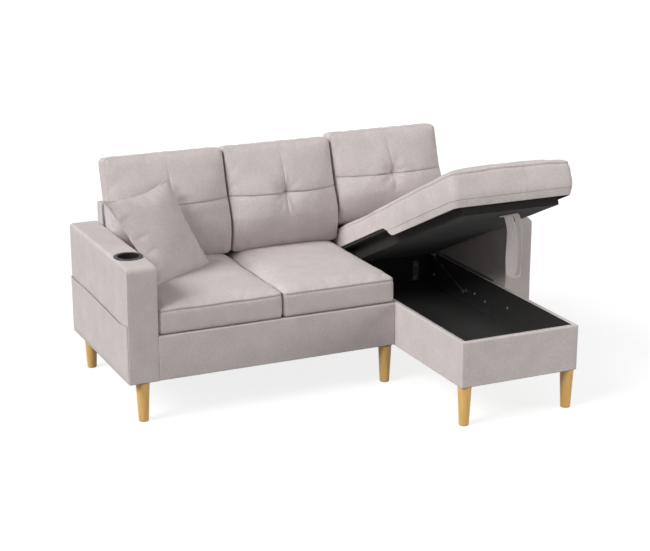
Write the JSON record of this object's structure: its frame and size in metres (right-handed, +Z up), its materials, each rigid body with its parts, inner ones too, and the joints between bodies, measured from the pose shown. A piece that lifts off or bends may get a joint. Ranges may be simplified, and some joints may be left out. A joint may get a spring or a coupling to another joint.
{
  "type": "sofa with storage chaise",
  "caption": "Upholstered sofa whose right seat is a storage chaise under a padded lid that lifts on a rear hinge, with loose cushions, a cup holder and round tapered legs.",
  "frame": {"origin": "centre of the footprint, at the floor", "axes": "+X to the chaise side, seen from the front; +Y to the back; +Z up"},
  "size_m": [1.758, 1.28, 0.9389],
  "materials": {
    "cover_fabric": "soft short-napped weave",
    "black_lining": "plain matt non-woven lining",
    "frame_timber": "sawn, unfinished",
    "leg_wood": "clear satin lacquer over pale wood",
    "black_plastic": "moulded, satin",
    "dark_steel": "dark satin coat"
  },
  "bodies": {
    "sofa": {"left_arm_cover": "cover_fabric", "side_pocket": "cover_fabric", "right_arm_cover": "cover_fabric", "seat_front_cover": "cover_fabric", "left_back_cover": "cover_fabric", "right_back_cover": "cover_fabric", "storage_cover": "cover_fabric", "seat_deck_pad": "black_lining", "seat_dust_cover": "black_lining", "storage_lining": "black_lining", "storage_battens": "black_lining", "left_arm_timbers": "frame_timber", "right_arm_timbers": "frame_timber", "seat_front_board": "frame_timber", "seat_rear_rail": "frame_timber", "seat_cross_rails": "frame_timber", "corner_blocks": "frame_timber", "back_timbers": "frame_timber", "storage_front_panel": "frame_timber", "storage_side_panels": "frame_timber", "storage_rear_panel": "frame_timber", "storage_floor": "frame_timber", "leg_left_arm_front": "leg_wood", "leg_left_arm_rear": "leg_wood", "leg_seat_front": "leg_wood", "leg_seat_rear": "leg_wood", "leg_chaise_front_left": "leg_wood", "leg_chaise_front_right": "leg_wood", "leg_right_arm_front": "leg_wood", "leg_right_arm_rear": "leg_wood", "cup_holder": "black_plastic", "spring_clips": "black_plastic", "seat_springs": "dark_steel", "rim_bar": "dark_steel", "back_bracket": "dark_steel", "frame_bolts": "dark_steel", "leg_plates": "dark_steel", "leg_bolts": "dark_steel", "hinge_box_plates": "dark_steel", "hinge_pins": "dark_steel", "stay_box_studs": "dark_steel"},
    "lid": {"lid_board": "frame_timber", "lid_side_rails": "black_lining", "lid_cross_rails": "black_lining", "lid_lining": "black_lining", "lid_skirt": "cover_fabric", "chaise_cushion": "cover_fabric", "hinge_lid_plates": "dark_steel", "stay_lid_studs": "dark_steel"},
    "left_seat_cushion": {"left_seat_cushion": "cover_fabric"},
    "right_seat_cushion": {"right_seat_cushion": "cover_fabric"},
    "left_back_cushion": {"left_back_cushion": "cover_fabric"},
    "middle_back_cushion": {"middle_back_cushion": "cover_fabric"},
    "right_back_cushion": {"right_back_cushion": "cover_fabric"},
    "throw_pillow": {"throw_pillow": "cover_fabric"},
    "pull_strap": {"pull_strap": "cover_fabric"},
    "stay_tube_left": {"stay_tube_left": "dark_steel"},
    "stay_tube_right": {"stay_tube_right": "dark_steel"},
    "stay_rod_left": {"stay_rod_left": "dark_steel"},
    "stay_rod_right": {"stay_rod_right": "dark_steel"}
  },
  "joints": [
    {"name": "lid_hinge", "type": "hinge", "parent": "sofa", "child": "lid", "pos_m": [0.504, 0.544, 0.385], "axis": [1, 0, 0], "range_deg": [0, 24.5]},
    {"name": "stay_turn_left", "type": "hinge", "parent": "sofa", "child": "stay_tube_left", "pos_m": [0.2825, 0.193, 0.245], "axis": [1, 0, 0], "range_deg": [-5, 0]},
    {"name": "stay_turn_right", "type": "hinge", "parent": "sofa", "child": "stay_tube_right", "pos_m": [0.7255, 0.193, 0.245], "axis": [1, 0, 0], "range_deg": [-5, 0]},
    {"name": "stay_slide_left", "type": "slide", "parent": "stay_tube_left", "child": "stay_rod_left", "axis": [0, 0.9528, 0.3036], "range_m": [0, 0.019]},
    {"name": "stay_slide_right", "type": "slide", "parent": "stay_tube_right", "child": "stay_rod_right", "axis": [0, 0.9528, 0.3036], "range_m": [0, 0.019]},
    {"name": "strap_fold", "type": "hinge", "parent": "lid", "child": "pull_strap", "pos_m": [0.561, -0.44968, 0.75586], "axis": [1, 0, 0], "range_deg": [0, 66]},
    {"name": "right_back_cushion_drop", "type": "slide", "parent": "sofa", "child": "right_back_cushion", "axis": [0, -0.2607, -0.9654], "range_m": [0, 0.0364]},
    {"name": "left_back_cushion_lift", "type": "slide", "parent": "sofa", "child": "left_back_cushion", "axis": [0, 0.2607, 0.9654], "range_m": [0, 0.2]},
    {"name": "middle_back_cushion_lift", "type": "slide", "parent": "sofa", "child": "middle_back_cushion", "axis": [0, 0.2607, 0.9654], "range_m": [0, 0.2]},
    {"name": "left_seat_cushion_pull", "type": "slide", "parent": "sofa", "child": "left_seat_cushion", "axis": [0, -1, 0], "range_m": [0, 0.3]},
    {"name": "right_seat_cushion_pull", "type": "slide", "parent": "sofa", "child": "right_seat_cushion", "axis": [0, -1, 0], "range_m": [0, 0.3]},
    {"name": "throw_pillow_lift", "type": "slide", "parent": "sofa", "child": "throw_pillow", "axis": [0, 0, 1], "range_m": [0, 0.4]}
  ],
  "couplings": [
    {"joint": "stay_turn_left", "follows": "lid_hinge", "ratio": -0.1931},
    {"joint": "stay_turn_right", "follows": "lid_hinge", "ratio": -0.1931},
    {"joint": "stay_slide_left", "follows": "lid_hinge", "m_per_rad": 0.0435},
    {"joint": "stay_slide_right", "follows": "lid_hinge", "m_per_rad": 0.0435},
    {"joint": "strap_fold", "follows": "lid_hinge", "ratio": 2.67},
    {"joint": "right_back_cushion_drop", "follows": "lid_hinge", "m_per_rad": 0.0849}
  ]
}
